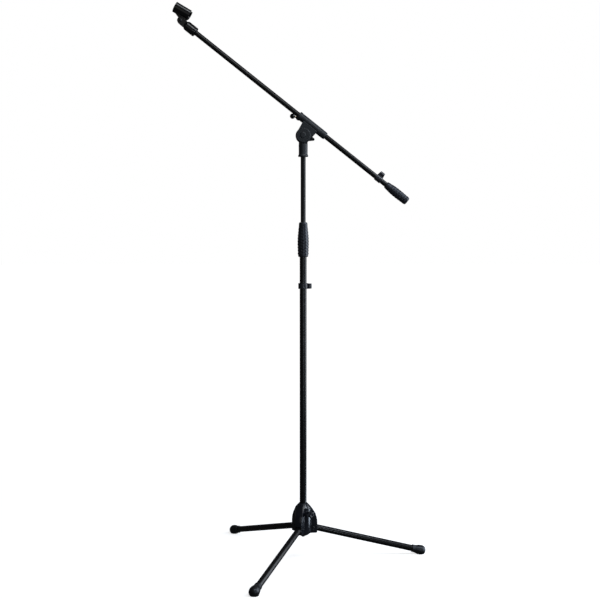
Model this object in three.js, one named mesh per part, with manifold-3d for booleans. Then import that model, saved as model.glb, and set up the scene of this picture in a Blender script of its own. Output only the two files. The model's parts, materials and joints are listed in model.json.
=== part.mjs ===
// Boom microphone stand: a folding tripod base, a two-part mast with a twist clutch,
// a tilting boom head and a boom that carries a swivelling microphone clip.
// Millimetres, +Z up. The mast axis is the drawing axis while the stand is being built;
// at the end the whole stand is moved so that its box is centred over the origin.
import * as THREE from 'three';
import { mergeVertices } from 'three/addons/utils/BufferGeometryUtils.js';
import Module from 'manifold-3d';

const wasm = await Module();
wasm.setup();

const DEG = Math.PI / 180;

// ---- driving dimensions -------------------------------------------------------------------
const GAP = 0.3;                 // free gap between touching pieces

const LOWER_R = 11;              // lower mast tube, outside radius
const LOWER_WALL = 1.2;
const UPPER_R = 8;               // upper mast tube and boom tube, outside radius
const UPPER_WALL = 1;
const LEG_R = 10;                // leg tube, outside radius
const LEG_WALL = 1.2;

const LEG_AZIMUTHS = { front: -111.4, right: 8.3, rear: 128.3 };
const LEG_SLOPE = 14.4;          // degrees below the horizontal
const PIN_REACH = 32;            // mast axis to leg hinge pin
const PIN_HEIGHT = 103.2;
const PIN_R = 2.5;
const FOOT_REACH = 387;          // mast axis to the middle of a foot

const HUB_BOTTOM = 85.5;
const HUB_TOP = 182.5;
const HUB_SHOULDER = 118;        // above this height the hub curves in
const HUB_R = 45.8;
const HUB_TOP_R = 12.7;
const HOOD_HALF_WIDTH = 12;
const SLOT_HALF_WIDTH = 10.4;
const CORE_R = 26;
const BUSH_BOTTOM = 156;         // nylon bush that guides the mast in the hub
const BUSH_TOP = 179;
const BUSH_R = 13.5;
const KNOB_AZIMUTH = -51.7;
const KNOB_HEIGHT = 150;
const KNOB_ROLL = 5;             // how far the wings are turned from level, in degrees

const MAST_BOTTOM = 88.3;
const FLANGE_TOP = 96.2;         // the inner ends of the legs rest on this flange
const FLANGE_R = 21;
const LOWER_TOP = 1046;
const GRIP_BOTTOM = 968;
const GRIP_TOP = 1077.5;
const UPPER_BOTTOM = 390;
const SOCKET_BOTTOM = 1283.5;
const SOCKET_R = 14;

const PIVOT_HEIGHT = 1350;       // boom tilt axis
const DISC_R = 22.5;             // front disc, part of the boom clamp
const SOCKET_DISC_R = 24;        // rear disc, part of the mast socket
const DISC_DEPTH = 13.5;         // how far the discs reach in front of and behind the mast axis
const WASHER_HALF = 0.5;
const SOCKET_SHOULDER = PIVOT_HEIGHT - 27;   // the clamp's web swings over this shoulder
const BOLT_R = 4;                // tilt bolt
const PIVOT_BORE = BOLT_R + GAP;
const LEVER_DROOP = 17;          // degrees below the horizontal
const BOOM_TILT = 38.4;          // degrees above the horizontal
const BOOM_OFFSET = 41.6;        // tilt axis to boom axis

const SLEEVE_TAIL = -57.5;       // places along the boom, from the point nearest the tilt axis
const SLEEVE_NOSE = 50.5;
const LOCK_PLACE = 47;
const LOCK_DROP = 5;             // boom axis to lock axis, towards the tilt axis
const BOOM_TAIL = -378;
const BOOM_NOSE = 465;
const HANDLE_TAIL = -386.5;
const HANDLE_NOSE = -300.5;
const BOOM_CLIP_PLACE = -280.5;
const COLLAR_TAIL = 463.5;
const COLLAR_NOSE = 500;
const SWIVEL_PLACE = 523;
const EAR_R = 10.3;
const TONGUE_HALF = 4;

const CUP_TILT = 29.9;           // microphone axis, degrees above the horizontal
const CUP_LIFT = 29.9;           // swivel axis to microphone axis
const CUP_TAIL = -17.8;          // places along the microphone axis, from the swivel
const CUP_NOSE = 36;
const CUP_R = 18.6;
const CUP_WALL = 2.8;
const CUP_MOUTH = 42;            // half of the open angle, in degrees

const MAST_CLIP_PLACE = 867;

// ---- finishes -----------------------------------------------------------------------------
const finish = (color, roughness, metalness) =>
  new THREE.MeshStandardMaterial({ color, roughness, metalness });
const TUBE_PAINT = finish(0x151517, 0.38, 0.3);
const HUB_PLASTIC = finish(0x17181b, 0.35, 0);
const HEAD_PLASTIC = finish(0x191c20, 0.55, 0);
const GRIP_RUBBER = finish(0x18191b, 0.62, 0);
const FOOT_RUBBER = finish(0x141414, 0.75, 0);
const CLIP_PLASTIC = finish(0x101113, 0.22, 0);
const NYLON = finish(0x2b2b2d, 0.5, 0);
const STEEL = finish(0x8d9095, 0.35, 1);
const BRASS = finish(0xa88b4a, 0.35, 1);

// ---- small geometry helpers ---------------------------------------------------------------
// A turned body about Z. The profile is a list of [radius, height], taken anticlockwise.
function turned(profile, segments = 28) {
  const points = profile.map(([radius, height]) => new THREE.Vector2(radius, height));
  return new THREE.LatheGeometry(points, segments).rotateX(Math.PI / 2);
}

function rod(radius, bottom, top, segments = 24) {
  return turned([[0, bottom], [radius, bottom], [radius, top], [0, top]], segments);
}

function pipe(outer, inner, bottom, top, segments = 28) {
  const section = [[inner, bottom], [outer, bottom], [outer, top], [inner, top], [inner, bottom]];
  return turned(section, segments);
}

// Turns a body made about Z so that it lies along Y, with its top towards +Y.
const alongY = (geometry) => geometry.rotateX(-Math.PI / 2);

function block(x0, x1, y0, y1, z0, z1) {
  const box = new THREE.BoxGeometry(x1 - x0, y1 - y0, z1 - z0);
  return box.translate((x0 + x1) / 2, (y0 + y1) / 2, (z0 + z1) / 2);
}

// An outline in the XZ plane, thickened along Y.
function plate(shape, y0, y1, curveSegments = 10) {
  const options = { depth: y1 - y0, bevelEnabled: false, curveSegments };
  return new THREE.ExtrudeGeometry(shape, options).rotateX(Math.PI / 2).translate(0, y1, 0);
}

function outline(points) {
  return new THREE.Shape(points.map(([x, y]) => new THREE.Vector2(x, y)));
}

// The outline round two circles, the second one lying along +X.
function taperedBar(firstRadius, secondRadius, length) {
  const tangent = Math.acos((firstRadius - secondRadius) / length);
  const shape = new THREE.Shape();
  shape.absarc(0, 0, firstRadius, tangent, 2 * Math.PI - tangent, false);
  shape.absarc(length, 0, secondRadius, -tangent, tangent, false);
  shape.closePath();
  return shape;
}

function solid(geometry) {
  const bare = geometry.clone();
  bare.deleteAttribute('normal');
  bare.deleteAttribute('uv');
  const merged = mergeVertices(bare, 1e-4);
  const corners = merged.index.array;
  const triVerts = [];
  for (let i = 0; i < corners.length; i += 3) {
    const [a, b, c] = corners.slice(i, i + 3);
    if (a !== b && b !== c && c !== a) {
      triVerts.push(a, b, c);
    }
  }
  const vertProperties = merged.attributes.position.array;
  return new wasm.Manifold(
    new wasm.Mesh({ numProp: 3, vertProperties, triVerts: Uint32Array.from(triVerts) }),
  );
}

function surface(body) {
  const mesh = body.getMesh();
  const geometry = new THREE.BufferGeometry();
  geometry.setAttribute('position', new THREE.BufferAttribute(mesh.vertProperties, 3));
  geometry.setIndex(new THREE.BufferAttribute(mesh.triVerts, 1));
  geometry.computeVertexNormals();
  return geometry;
}

const joined = (geometries) => geometries.map(solid).reduce((sum, next) => sum.add(next));
const cut = (body, geometries) =>
  geometries.map(solid).reduce((rest, next) => rest.subtract(next), body);

// A six-sided nut about Z with a round bore.
const nut = (cornerRadius, bore, bottom, top) =>
  surface(cut(solid(rod(cornerRadius, bottom, top, 6)), [rod(bore, bottom - 1, top + 1, 20)]));

function place(group, name, geometry, material) {
  const mesh = new THREE.Mesh(geometry, material);
  mesh.name = name;
  group.add(mesh);
  return mesh;
}

// ---- the frames that the pieces are built in ----------------------------------------------
const stand = new THREE.Group();

// Boom frame: Z runs along the boom to the microphone end, X points away from the tilt axis.
const boomFrame = new THREE.Group();
const boomLean = -(90 - BOOM_TILT) * DEG;
boomFrame.rotation.y = boomLean;
boomFrame.position.set(
  BOOM_OFFSET * Math.cos(boomLean),
  0,
  PIVOT_HEIGHT - BOOM_OFFSET * Math.sin(boomLean),
);
stand.add(boomFrame);

// Clip frame: the origin is the swivel axis, Z runs along the microphone to its head.
const clipFrame = new THREE.Group();
clipFrame.position.set(0, 0, SWIVEL_PLACE);
clipFrame.rotation.y = (BOOM_TILT - CUP_TILT) * -DEG;
boomFrame.add(clipFrame);

// ---- tripod base --------------------------------------------------------------------------
// The hub is a bell: its radius falls as a parabola above the shoulder.
function hubRadius(height) {
  const rise = Math.max(0, (height - HUB_SHOULDER) / (HUB_TOP - HUB_SHOULDER));
  return HUB_TOP_R + (HUB_R - HUB_TOP_R) * (1 - rise * rise);
}

function hubBell() {
  const steps = 7;
  const profile = [[0, HUB_BOTTOM], [HUB_R - 1.5, HUB_BOTTOM], [HUB_R, HUB_BOTTOM + 3]];
  for (let i = 0; i <= steps; i++) {
    const height = HUB_SHOULDER + (HUB_TOP - HUB_SHOULDER) * i / steps;
    profile.push([hubRadius(height), height]);
  }
  profile.push([0, HUB_TOP]);
  return turned(profile, 42);
}

// The side view of the room that a leg's inner end needs while it swings.
function legSlot() {
  const ceiling = PIN_HEIGHT + 15.5;
  const shape = outline([
    [15, HUB_BOTTOM - 5],
    [60, HUB_BOTTOM - 5],
    [60, PIN_HEIGHT + 4.9],
    [42.2, PIN_HEIGHT + 9.4],
    [42.2, ceiling - 4],
    [38, ceiling],
    [26, ceiling],
    [19, PIN_HEIGHT + 12],
    [15, PIN_HEIGHT + 5],
  ]);
  return plate(shape, -SLOT_HALF_WIDTH, SLOT_HALF_WIDTH);
}

const pinHole = (radius, halfLength) =>
  alongY(rod(radius, -halfLength, halfLength, 12)).translate(PIN_REACH, 0, PIN_HEIGHT);

// Along the knob's own axis, from the mast outwards.
function knobAxisRod(geometry) {
  return geometry.rotateY(90 * DEG).translate(0, 0, KNOB_HEIGHT).rotateZ(KNOB_AZIMUTH * DEG);
}

function baseHousing() {
  const slabs = Object.values(LEG_AZIMUTHS).map((azimuth) =>
    block(0, 60, -HOOD_HALF_WIDTH, HOOD_HALF_WIDTH, HUB_BOTTOM - 1, HUB_TOP + 1).rotateZ(azimuth * DEG));
  const ribbed = joined([rod(CORE_R, HUB_BOTTOM, HUB_TOP, 42), ...slabs]).intersect(solid(hubBell()));
  const cuts = [
    rod(LOWER_R + GAP, HUB_BOTTOM - 1, HUB_TOP + 1),
    rod(FLANGE_R + 1.3, HUB_BOTTOM - 1, FLANGE_TOP + 4, 28),
    rod(BUSH_R + GAP, BUSH_BOTTOM, BUSH_TOP),
    knobAxisRod(rod(5.3, 12, 24.5, 24)),
    knobAxisRod(rod(3.3, 8, 40, 24)),
  ];
  for (const azimuth of Object.values(LEG_AZIMUTHS)) {
    cuts.push(legSlot().rotateZ(azimuth * DEG));
    cuts.push(pinHole(PIN_R + GAP, 20).rotateZ(azimuth * DEG));
  }
  return surface(cut(ribbed, cuts));
}

place(stand, 'base_housing', baseHousing(), HUB_PLASTIC);
place(stand, 'mast_bush', pipe(BUSH_R, LOWER_R + GAP, BUSH_BOTTOM + GAP, BUSH_TOP - GAP), NYLON);
place(stand, 'knob_insert', knobAxisRod(nut(5, 3.3, 15.2, 24.2)), BRASS);

function lockKnob() {
  const wing = taperedBar(8, 5, 13.5);
  const wings = [0, 180].map((turn) => plate(wing, 34, 42).rotateY(turn * DEG));
  const boss = alongY(turned([[0, 27], [6, 27], [9, 32], [9, 43], [7, 45], [0, 45]], 32));
  const body = joined([boss, ...wings]);
  return surface(cut(body, [alongY(rod(3.3, 20, 40.3, 24))]))
    .rotateY(KNOB_ROLL * DEG)
    .rotateZ((KNOB_AZIMUTH - 90) * DEG)
    .translate(0, 0, KNOB_HEIGHT);
}

place(stand, 'base_lock_knob', lockKnob(), HUB_PLASTIC);
place(stand, 'base_lock_screw', knobAxisRod(rod(3, LOWER_R + 0.6, 40, 24)), STEEL);

// ---- legs, each built along its own Z, with X towards its underside ------------------------
const legDirection = new THREE.Vector3(Math.cos(LEG_SLOPE * DEG), 0, -Math.sin(LEG_SLOPE * DEG));
const footPlace = (FOOT_REACH - PIN_REACH) / legDirection.x;
const legLean = (90 + LEG_SLOPE) * DEG;
const knuckleEnd = 9;
const bootMouth = footPlace - 30;
const bootBottom = footPlace + 7;

// Brings something drawn upright beside the mast into a leg's own frame.
const uprightToLeg = new THREE.Matrix4()
  .makeRotationY(legLean)
  .setPosition(PIN_REACH, 0, PIN_HEIGHT)
  .invert();

function legKnuckle() {
  const half = 9;
  const inner = -13.5;
  const corner = 3;
  const shape = outline([
    [-half, knuckleEnd],
    [-half, inner + corner],
    [-half + corner, inner],
    [half - corner, inner],
    [half, inner + corner],
    [half, knuckleEnd],
  ]);
  const spigot = rod(LEG_R - LEG_WALL - GAP, knuckleEnd - 1, 40);
  const body = joined([plate(shape, -9.8, 9.8), spigot]);
  return surface(cut(body, [alongY(rod(PIN_R + GAP, -12, 12, 12))]));
}

function rubberFoot() {
  const boot = turned([
    [0, bootBottom],
    [LEG_R + GAP, bootBottom],
    [LEG_R + GAP, bootMouth],
    [11.9, bootMouth],
    [11.9, bootMouth + 8],
    [13.8, bootMouth + 15],
    [15.6, bootMouth + 23],
    [16.2, footPlace],
    [15.6, footPlace + 6],
    [13, footPlace + 11.5],
    [8, footPlace + 15],
    [0, footPlace + 16],
  ], 24);
  const pad = turned([[0, 0], [12, 0], [13.5, 1.5], [14.5, 9], [0, 9]], 24).translate(FOOT_REACH - 1, 0, 0);
  const ground = block(300, 450, -40, 40, -40, 0);
  const bore = rod(LEG_R + GAP, bootMouth - 1, bootBottom);
  const body = joined([boot, pad.applyMatrix4(uprightToLeg)]);
  return surface(cut(body, [ground.applyMatrix4(uprightToLeg), bore]));
}

for (const [side, azimuth] of Object.entries(LEG_AZIMUTHS)) {
  const spoke = new THREE.Group();
  spoke.rotation.z = azimuth * DEG;
  stand.add(spoke);
  place(spoke, `leg_pin_${side}`, pinHole(PIN_R, HOOD_HALF_WIDTH - 0.4), STEEL);

  const leg = new THREE.Group();
  leg.position.set(PIN_REACH, 0, PIN_HEIGHT);
  leg.rotation.y = legLean;
  spoke.add(leg);
  place(leg, `leg_knuckle_${side}`, legKnuckle(), NYLON);
  const tube = pipe(LEG_R, LEG_R - LEG_WALL, knuckleEnd + GAP, bootBottom - GAP, 24);
  place(leg, `leg_tube_${side}`, tube, TUBE_PAINT);
  place(leg, `rubber_foot_${side}`, rubberFoot(), FOOT_RUBBER);
}

// ---- lower mast ---------------------------------------------------------------------------
place(stand, 'lower_tube', pipe(LOWER_R, LOWER_R - LOWER_WALL, MAST_BOTTOM, LOWER_TOP), TUBE_PAINT);

// The flange that the inner ends of the legs rest on, with a spigot up inside the tube.
place(stand, 'leg_stop_plug', turned([
  [3.3, 78],
  [15, 78],
  [20, 82],
  [FLANGE_R, 85],
  [FLANGE_R, FLANGE_TOP],
  [15, FLANGE_TOP + 1.5],
  [LOWER_R + GAP, FLANGE_TOP + 1.5],
  [LOWER_R + GAP, MAST_BOTTOM - GAP],
  [LOWER_R - LOWER_WALL - GAP, MAST_BOTTOM - GAP],
  [LOWER_R - LOWER_WALL - GAP, 118],
  [3.3, 118],
  [3.3, 78],
]), NYLON);
place(stand, 'plug_screw', turned([
  [0, 72],
  [5, 72.5],
  [6.5, 75],
  [6.5, 77.7],
  [3, 77.7],
  [3, 114],
  [0, 114],
], 24), STEEL);

// ---- twist clutch -------------------------------------------------------------------------
const ferruleR = 13;
const colletTop = 1061;
place(stand, 'clutch_ferrule', pipe(ferruleR, LOWER_R + GAP, 1000, LOWER_TOP), NYLON);

function clutchGrip() {
  const bore = ferruleR + GAP;
  const ceiling = colletTop + 1;
  return turned([
    [bore, GRIP_BOTTOM],
    [14.2, GRIP_BOTTOM],
    [15.7, GRIP_BOTTOM + 2.5],
    [16.3, GRIP_BOTTOM + 8],
    [16.6, GRIP_BOTTOM + 22],
    [17.1, GRIP_BOTTOM + 35],
    [17.2, GRIP_BOTTOM + 50],
    [16.9, GRIP_BOTTOM + 62],
    [15.8, GRIP_BOTTOM + 75],
    [14.6, GRIP_BOTTOM + 88],
    [13.8, GRIP_BOTTOM + 98],
    [13.5, GRIP_TOP - 4],
    [11.8, GRIP_TOP - 0.6],
    [10.6, GRIP_TOP],
    [UPPER_R + GAP, GRIP_TOP],
    [UPPER_R + GAP, ceiling + 5],
    [11.2, ceiling],
    [bore - 1.6, ceiling - 6],
    [bore, ceiling - 12],
    [bore, GRIP_BOTTOM],
  ], 28);
}

place(stand, 'clutch_grip', clutchGrip(), GRIP_RUBBER);

const washerTop = LOWER_TOP + 1.8;
const colletBottom = washerTop + GAP;
place(stand, 'clutch_collet', turned([
  [UPPER_R + GAP, colletBottom],
  [11.3, colletBottom],
  [11.3, colletTop - 5],
  [9.9, colletTop],
  [UPPER_R + GAP, colletTop],
  [UPPER_R + GAP, colletBottom],
]), NYLON);
place(stand, 'collet_washer', pipe(11, UPPER_R + GAP, LOWER_TOP + GAP, washerTop), BRASS);

// ---- upper mast ---------------------------------------------------------------------------
const socketFloor = SOCKET_BOTTOM + 34;
const setScrewHeight = SOCKET_BOTTOM + 16;
const upperTube = pipe(UPPER_R, UPPER_R - UPPER_WALL, UPPER_BOTTOM, socketFloor - GAP);
place(stand, 'upper_tube', upperTube, TUBE_PAINT);

const guideBush = pipe(LOWER_R - LOWER_WALL - GAP, UPPER_R + GAP, UPPER_BOTTOM + 2, UPPER_BOTTOM + 42);
place(stand, 'guide_bush', guideBush, NYLON);
place(stand, 'tube_top_plug', rod(UPPER_R - UPPER_WALL - GAP, socketFloor - 26, socketFloor - GAP), STEEL);

// A round body along the tilt axis, between two places in front of or behind the mast axis.
const tiltAxisRod = (radius, y0, y1, segments = 28) =>
  alongY(rod(radius, y0, y1, segments)).translate(0, 0, PIVOT_HEIGHT);

function boomSocket() {
  const barrel = turned([
    [0, SOCKET_BOTTOM],
    [15.2, SOCKET_BOTTOM],
    [16, SOCKET_BOTTOM + 1],
    [15.6, SOCKET_BOTTOM + 4],
    [SOCKET_R, SOCKET_BOTTOM + 8],
    [SOCKET_R + 0.3, SOCKET_SHOULDER],
    [0, SOCKET_SHOULDER],
  ]);
  const back = block(-20, 20, WASHER_HALF + GAP, 20, SOCKET_SHOULDER - 6, PIVOT_HEIGHT + 1);
  const backHalf = solid(rod(SOCKET_R, SOCKET_SHOULDER - 5, PIVOT_HEIGHT)).intersect(solid(back));
  const disc = tiltAxisRod(SOCKET_DISC_R, WASHER_HALF + GAP, DISC_DEPTH, 32);
  const body = joined([barrel, disc]).add(backHalf);
  return surface(cut(body, [
    rod(UPPER_R + GAP, SOCKET_BOTTOM - 1, socketFloor),
    tiltAxisRod(PIVOT_BORE, -20, 20, 24),
    alongY(rod(2.8, 5, 20, 20)).translate(0, 0, setScrewHeight),
  ]));
}

place(stand, 'boom_socket', boomSocket(), HEAD_PLASTIC);

const setScrew = alongY(rod(2.5, UPPER_R + GAP, 13.4, 20)).translate(0, 0, setScrewHeight);
place(stand, 'socket_set_screw', setScrew, STEEL);
const washer = alongY(pipe(20, PIVOT_BORE, -WASHER_HALF, WASHER_HALF)).translate(0, 0, PIVOT_HEIGHT);
place(stand, 'friction_washer', washer, NYLON);

// ---- tilt lever and its bolt, behind the head ---------------------------------------------
function tiltLever() {
  const arm = plate(taperedBar(16.5, 4.2, 33.5), 17, 25).rotateY(LEVER_DROOP * DEG);
  const hub = alongY(turned([[0, 14.2], [8, 14.2], [9.5, 16], [9.5, 27], [7, 28.5], [0, 28.5]], 32));
  const body = joined([arm, hub]);
  return surface(cut(body, [alongY(rod(PIVOT_BORE, 10, 22.3, 24))])).translate(0, 0, PIVOT_HEIGHT);
}

place(stand, 'tilt_lever', tiltLever(), HEAD_PLASTIC);
place(stand, 'pivot_bolt', tiltAxisRod(BOLT_R, -11.6, 22, 24), STEEL);

// ---- boom head, built in the boom frame ---------------------------------------------------
const atPivot = (geometry) => geometry.translate(-BOOM_OFFSET, 0, 0);
const atLock = (geometry) => geometry.translate(-LOCK_DROP, 0, LOCK_PLACE);

function boomClamp() {
  const sleeve = turned([
    [0, SLEEVE_TAIL],
    [10.6, SLEEVE_TAIL],
    [12, SLEEVE_TAIL + 5],
    [12.2, SLEEVE_TAIL + 20],
    [12.4, SLEEVE_NOSE - 8],
    [12.9, SLEEVE_NOSE - 7],
    [12.9, SLEEVE_NOSE - 1],
    [12, SLEEVE_NOSE],
    [0, SLEEVE_NOSE],
  ]);
  const disc = atPivot(alongY(rod(DISC_R, -DISC_DEPTH, -WASHER_HALF - GAP, 32)));
  const frontWeb = plate(outline([
    [-BOOM_OFFSET, -DISC_R + 0.3],
    [-26.5, -26],
    [-6, -27],
    [-6, 28.5],
    [-14, 26.5],
    [-BOOM_OFFSET, DISC_R - 0.3],
  ]), -11.5, -WASHER_HALF - GAP);
  const backWeb = plate(outline([[-17, -24], [-6, -27], [-6, 24], [-17, 20]]), -2, 9.5);
  const lockBoss = atLock(alongY(turned([[0, 0], [9.5, 0], [9.5, 14.5], [8, 16.5], [0, 16.5]], 32)));
  const body = joined([sleeve, disc, frontWeb, backWeb, lockBoss]);
  return surface(cut(body, [
    rod(9.8, SLEEVE_TAIL - 1, SLEEVE_NOSE + 6),
    atPivot(alongY(rod(SOCKET_DISC_R + 0.7, -WASHER_HALF, 25, 32))),
    atPivot(alongY(rod(PIVOT_BORE, -20, 5, 24))),
    atPivot(alongY(rod(8, -20, -6, 6))),
    atPivot(alongY(rod(10.3, -20, -12.1, 32))),
    atLock(alongY(rod(3.3, 0, 20, 24))),
  ]));
}

place(boomFrame, 'boom_clamp', boomClamp(), HEAD_PLASTIC);
place(boomFrame, 'pivot_nut', atPivot(alongY(nut(7.6, PIVOT_BORE, -11.8, -6.3))), STEEL);
const capProfile = [[0, -15.2], [7, -14.9], [10, -13.8], [10, -12.4], [0, -12.4]];
place(boomFrame, 'pivot_cap', atPivot(alongY(turned(capProfile, 24))), HEAD_PLASTIC);

// Lock screw of the boom, behind the sleeve, with a ball-ended tommy bar.
const lockBarLean = Math.atan2(-7.9, 18.8);
const lockBarReach = 20.4;
const lockBarDepth = 22.5;
const alongLockBar = (geometry) => atLock(geometry.rotateY(lockBarLean).translate(0, lockBarDepth, 0));

place(boomFrame, 'boom_lock_screw', atLock(alongY(turned([
  [0, 9.9],
  [3, 9.9],
  [3, 16.9],
  [6.2, 16.9],
  [6.8, 17.6],
  [6.8, 26.2],
  [5.6, 27.4],
  [0, 27.4],
], 28))), BRASS);
place(boomFrame, 'boom_lock_bar', alongLockBar(rod(2.8, 7.1, lockBarReach - 3, 24)), BRASS);

function lockBall() {
  const ball = new THREE.SphereGeometry(8.3, 20, 12).translate(0, 0, lockBarReach);
  return alongLockBar(surface(cut(solid(ball), [rod(2.8 + GAP, 0, lockBarReach - 3 + GAP, 24)])));
}

place(boomFrame, 'boom_lock_ball', lockBall(), CLIP_PLASTIC);
place(boomFrame, 'boom_liner', pipe(9.5, UPPER_R + GAP, SLEEVE_TAIL + 1, SLEEVE_NOSE - 1), NYLON);

// ---- boom ---------------------------------------------------------------------------------
place(boomFrame, 'boom_tube', pipe(UPPER_R, UPPER_R - UPPER_WALL, BOOM_TAIL, BOOM_NOSE), TUBE_PAINT);
place(boomFrame, 'counterweight', rod(UPPER_R - UPPER_WALL - GAP, BOOM_TAIL + 1, HANDLE_NOSE), STEEL);

function boomHandle() {
  return turned([
    [0, HANDLE_TAIL],
    [9.5, HANDLE_TAIL],
    [12, HANDLE_TAIL + 1.6],
    [13.1, HANDLE_TAIL + 5],
    [13.5, HANDLE_TAIL + 18],
    [14.1, HANDLE_TAIL + 34],
    [14.2, HANDLE_TAIL + 48],
    [13.8, HANDLE_TAIL + 60],
    [12.8, HANDLE_TAIL + 72],
    [11.6, HANDLE_TAIL + 83],
    [10.8, HANDLE_NOSE - 1.6],
    [9.6, HANDLE_NOSE],
    [UPPER_R + GAP, HANDLE_NOSE],
    [UPPER_R + GAP, BOOM_TAIL - GAP],
    [0, BOOM_TAIL - GAP],
  ], 28);
}

place(boomFrame, 'boom_handle', boomHandle(), GRIP_RUBBER);
place(boomFrame, 'boom_thread_end', turned([
  [0, BOOM_NOSE - 25],
  [6.7, BOOM_NOSE - 25],
  [6.7, BOOM_NOSE + GAP],
  [7.6, BOOM_NOSE + GAP],
  [7.6, BOOM_NOSE + 21],
  [6.6, BOOM_NOSE + 22],
  [0, BOOM_NOSE + 22],
], 24), STEEL);

// ---- microphone clip ----------------------------------------------------------------------
function clipBase() {
  const collar = turned([
    [0, COLLAR_TAIL],
    [14.2, COLLAR_TAIL],
    [15, COLLAR_TAIL + 1.5],
    [14.9, COLLAR_NOSE - 2],
    [14, COLLAR_NOSE],
    [9.6, COLLAR_NOSE + 5],
    [0, COLLAR_NOSE + 5],
  ], 28);
  const ears = plate(taperedBar(EAR_R, EAR_R + 0.4, 17), -9, 9)
    .rotateY(90 * DEG)
    .translate(0, 0, SWIVEL_PLACE);
  const half = TONGUE_HALF + GAP;
  const slot = block(-20, 20, -half, half, COLLAR_NOSE + 6, SWIVEL_PLACE + 20);
  const tongueRoom = alongY(rod(EAR_R + 0.8, -half, half)).translate(0, 0, SWIVEL_PLACE);
  const screwHole = alongY(rod(2.3, -20, 20, 20)).translate(0, 0, SWIVEL_PLACE);
  const bore = rod(11.3, COLLAR_TAIL - 1, COLLAR_TAIL + 26);
  return surface(cut(joined([collar, ears]), [slot, tongueRoom, screwHole, bore]));
}

place(boomFrame, 'clip_base', clipBase(), CLIP_PLASTIC);
place(boomFrame, 'clip_thread_insert', pipe(11, 7.9, COLLAR_TAIL + 3, COLLAR_TAIL + 25.4, 24), BRASS);

// A C-shaped cup about the microphone axis, a little narrower at the tail, on a flat tongue.
function micCup() {
  const mouth = CUP_MOUTH * DEG;
  const arc = new THREE.Shape();
  arc.absarc(0, 0, CUP_R, mouth, 2 * Math.PI - mouth, false);
  arc.absarc(0, 0, CUP_R - CUP_WALL, 2 * Math.PI - mouth, mouth, true);
  arc.closePath();
  const length = CUP_NOSE - CUP_TAIL;
  const options = { depth: length, bevelEnabled: false, curveSegments: 20 };
  const shell = new THREE.ExtrudeGeometry(arc, options);
  const points = shell.attributes.position;
  for (let i = 0; i < points.count; i++) {
    const taper = 0.95 + 0.05 * points.getZ(i) / length;
    points.setXY(i, points.getX(i) * taper, points.getY(i) * taper);
  }
  shell.translate(CUP_LIFT, 0, CUP_TAIL);
  const roof = CUP_LIFT - CUP_R + 1.8;
  const tongue = plate(outline([
    [0, -EAR_R],
    [roof, CUP_TAIL + 0.2],
    [roof, CUP_NOSE - 7],
    [8.5, 19],
    [5, 11],
    [0, EAR_R],
  ]), -TONGUE_HALF, TONGUE_HALF);
  const knuckle = alongY(rod(EAR_R, -TONGUE_HALF, TONGUE_HALF));
  return surface(cut(joined([shell, tongue, knuckle]), [alongY(rod(2.3, -20, 20, 20))]));
}

place(clipFrame, 'mic_cup', micCup(), CLIP_PLASTIC);
place(clipFrame, 'clip_screw', alongY(turned([
  [0, -12.6],
  [3.6, -12.6],
  [4.6, -11.6],
  [4.6, -9.3],
  [2, -9.3],
  [2, 12.4],
  [0, 12.4],
], 24)), STEEL);
place(clipFrame, 'clip_nut', alongY(nut(4.6, 2.3, 9.3, 12.4)), STEEL);

// ---- cable clips --------------------------------------------------------------------------
// A snap ring round the tube with an open cable channel beside it, open towards +Y.
function cableClip(tubeRadius, ringWall, reach, bottom, baseLength, topLength) {
  const channelR = 7.3;
  const channelBore = 4.4;
  const mouthHalf = 3.2;
  const middle = reach - channelR;
  const top = bottom + baseLength;
  const taper = (baseLength - topLength) / 2;
  const body = joined([
    rod(tubeRadius + ringWall, bottom, top, 28),
    block(tubeRadius - 2, middle, -5.5, 5.5, bottom, top),
    rod(channelR, bottom, top).translate(middle, 0, 0),
  ]);
  const sideView = plate(outline([
    [-20, bottom],
    [tubeRadius + 1, bottom],
    [reach, bottom + taper],
    [reach, top - taper],
    [tubeRadius + 1, top],
    [-20, top],
  ]), -20, 20);
  return surface(cut(body.intersect(solid(sideView)), [
    rod(tubeRadius + GAP, bottom - 1, top + 1, 28),
    rod(channelBore, bottom - 1, top + 1, 24).translate(middle, 0, 0),
    block(middle - mouthHalf, middle + mouthHalf, 0, 20, bottom - 1, top + 1),
    block(-tubeRadius * 0.55, tubeRadius * 0.55, 0, 20, bottom - 1, top + 1),
  ]));
}

place(stand, 'mast_cable_clip', cableClip(LOWER_R, 4.5, 27.3, MAST_CLIP_PLACE, 18, 16), CLIP_PLASTIC);
place(boomFrame, 'boom_cable_clip', cableClip(UPPER_R, 2.3, 24.4, BOOM_CLIP_PLACE, 21, 15), CLIP_PLASTIC);

// ---- the origin goes to the middle of the stand's box, on the floor ------------------------
stand.updateMatrixWorld(true);
const box = new THREE.Box3().setFromObject(stand, true);
stand.position.set(-(box.min.x + box.max.x) / 2, -(box.min.y + box.max.y) / 2, -box.min.z);

export default stand;
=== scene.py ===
"""Boom microphone stand: the fine visual model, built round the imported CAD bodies.

Each piece is drawn in millimetres in the frame of the part it belongs to (mast, leg, knob,
tilt axis, lever, boom, lock or microphone clip), and one matrix puts it in the row frame, in
metres.
"""
import json
import math

import bmesh
import bpy
from mathutils import Matrix, Vector

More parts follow.
